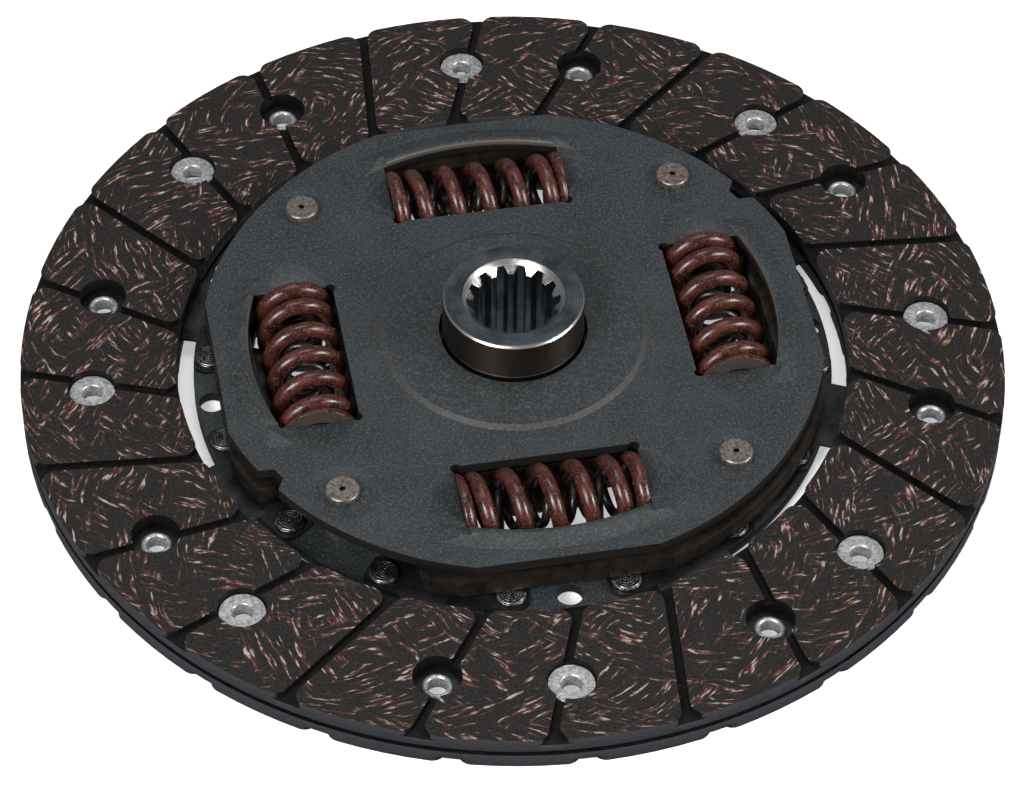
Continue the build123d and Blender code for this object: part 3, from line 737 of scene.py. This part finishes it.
outerSpring = {
    "coil": 7.3, "wire": 1.75, "turns": 7.0, "side": 1, "facets": 22, "steps": 44,  # mm; steps in a turn
    "lacquer": "#4e2118", "lacquerDark": "#29110d", "scuff": "#937a6e", "ground": "#8a7d74",
    "roughness": (0.19, 0.38),
}
innerSpring = {
    "coil": 4.0, "wire": 1.0, "turns": 9.0, "side": -1, "facets": 16, "steps": 36,
    "lacquer": "#261b18", "lacquerDark": "#120e0d", "scuff": "#4a3e39", "ground": "#6d6864",
    "roughness": (0.25, 0.44),
}
lacquerCoat = {
    "runsPerMm": 0.45, "runsFrom": (0.36, 0.64),
    "dentsPerMm": 2.2, "scuffsFrom": (0.56, 0.70), "scuffShare": 0.5,  # peening dents
    "groundBand": (0.12, 0.04),  # mm in from the end, where the ground face starts
    "groundMetal": 0.85,
    "relief": 0.03,
}


def lacqueredWire(name, s, coat, length):
    # spring steel wire, coiled, shot-peened and dipped in thin red-brown lacquer, with grey scuffs at random;
    # its ends are ground bare
    material, shader, add = newMaterial(name, 0.0)
    place = millimetres(add)
    alongAxis = add("SeparateXYZ", {0: place}, output=1)
    along = add("Math", {0: alongAxis}, operation="ABSOLUTE")
    normalAlong = add("SeparateXYZ", {0: add("TexCoord", output="Normal")}, output=1)
    facing = add("Math", {0: normalAlong}, operation="ABSOLUTE")
    start, end = coat["groundBand"]
    atEnd = add("MapRange", {"Value": along, "From Min": length / 2 - start, "From Max": length / 2 - end})
    isLevel = add("MapRange", {"Value": facing, "From Min": 0.9, "From Max": 0.97})
    isGround = add("Math", {0: atEnd, 1: isLevel}, operation="MULTIPLY")
    run = add("TexNoise", {"Vector": place, "Scale": coat["runsPerMm"], "Detail": 4.0, "Roughness": 0.6})
    low, high = coat["runsFrom"]
    runAmount = add("MapRange", {"Value": run, "From Min": low, "From Max": high})
    colour = add(
        "Mix", {"Factor": runAmount, 6: s["lacquerDark"], 7: s["lacquer"]}, output=2, data_type="RGBA")
    peen = add("TexNoise", {"Vector": place, "Scale": coat["dentsPerMm"], "Detail": 3.0, "Roughness": 0.7})
    low, high = coat["scuffsFrom"]
    scuffed = add("MapRange", {
        "Value": peen, "From Min": low, "From Max": high, "To Max": coat["scuffShare"]})
    colour = add("Mix", {"Factor": scuffed, 6: colour, 7: s["scuff"]}, output=2, data_type="RGBA")
    colour = add("Mix", {"Factor": isGround, 6: colour, 7: s["ground"]}, output=2, data_type="RGBA")
    smooth, matt = s["roughness"]
    rough = add("MapRange", {
        "Value": run, "From Min": 0.3, "From Max": 0.7, "To Min": smooth, "To Max": matt})
    normal = add("Bump", {"Height": peen, "Distance": coat["relief"] * mm, "Strength": 1.0})
    metal = add("Math", {0: isGround, 1: coat["groundMetal"]}, operation="MULTIPLY")
    connect(shader, baseColor=colour, roughness=rough, normal=normal, metallic=metal)
    return material


def springMesh(name, s, place):
    # a round wire along Y, closed at both ends and ground flat
    wire = 2 * s["wire"]
    reach = (place["length"] + s["wire"]) / 2
    count = round(s["turns"] * s["steps"])
    openPitch = 2 * (reach - place["closed"] * wire) / (s["turns"] - 2 * place["closed"])
    heights = [0.0]
    for k in range(count):
        turn = (k + 0.5) / s["steps"]
        pastClosed = min(turn, s["turns"] - turn) - place["closed"]
        opening = (pastClosed + place["blend"]) / (2 * place["blend"])
        opening = min(max(opening, 0.0), 1.0)
        pitch = wire + (openPitch - wire) * opening * opening * (3 - 2 * opening)
        heights.append(heights[-1] + pitch / s["steps"])
    stretch = 2 * reach / heights[-1]
    bm = bmesh.new()
    rings = []
    for k, height in enumerate(heights):
        aroundAxis = 2 * math.pi * (k / s["steps"] - place["lead"])
        out = Vector((s["side"] * math.sin(aroundAxis), 0, math.cos(aroundAxis)))
        centre = out * s["coil"] + Vector((0, height * stretch - reach, 0))
        ring = []
        for j in range(s["facets"]):
            aroundWire = 2 * math.pi * j / s["facets"]
            toSkin = out * math.cos(aroundWire) + Vector((0, 1, 0)) * math.sin(aroundWire)
            point = centre + toSkin * s["wire"]
            ring.append(bm.verts.new(point * mm))
        rings.append(ring)
    for low, high in zip(rings, rings[1:]):
        for j in range(s["facets"]):
            i = (j + 1) % s["facets"]
            bm.faces.new((low[j], low[i], high[i], high[j]))
    bm.faces.new(rings[0][::-1])
    bm.faces.new(rings[-1])
    for side in (-1, 1):
        plane = Vector((0, side * place["length"] / 2 * mm, 0))
        everything = bm.verts[:] + bm.edges[:] + bm.faces[:]
        cut = bmesh.ops.bisect_plane(
            bm, geom=everything, plane_co=plane, plane_no=(0, side, 0), clear_outer=True)
        edges = [e for e in cut["geom_cut"] if isinstance(e, bmesh.types.BMEdge)]
        bmesh.ops.holes_fill(bm, edges=edges)
    bmesh.ops.recalc_face_normals(bm, faces=bm.faces)
    for face in bm.faces:
        face.smooth = len(face.verts) == 4
    mesh = bpy.data.meshes.new(name)
    bm.to_mesh(mesh)
    bm.free()
    return mesh


def makeSprings(kind, s, place):
    material = lacqueredWire(f"{kind}SpringWire", s, lacquerCoat, place["length"])
    for k in range(place["count"]):
        name = f"{kind}Spring{k + 1}"
        spring = bpy.data.objects.new(name, springMesh(name, s, place))
        bpy.context.scene.collection.objects.link(spring)
        turn = 2 * math.pi / place["count"] * k
        outward = Vector((math.cos(turn), math.sin(turn), 0))
        middle = outward * place["radius"] + Vector((0, 0, place["height"]))
        spring.location = middle * mm
        spring.rotation_euler.z = turn + (math.pi if k == place["endForEnd"] else 0)
        spring.data.materials.append(material)
        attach(spring, "springs")
        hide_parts(f"{kind}_spring_{k + 1}")
        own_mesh(spring)


makeSprings("outer", outerSpring, springPlace)
makeSprings("inner", innerSpring, springPlace)
print("stage: springs")
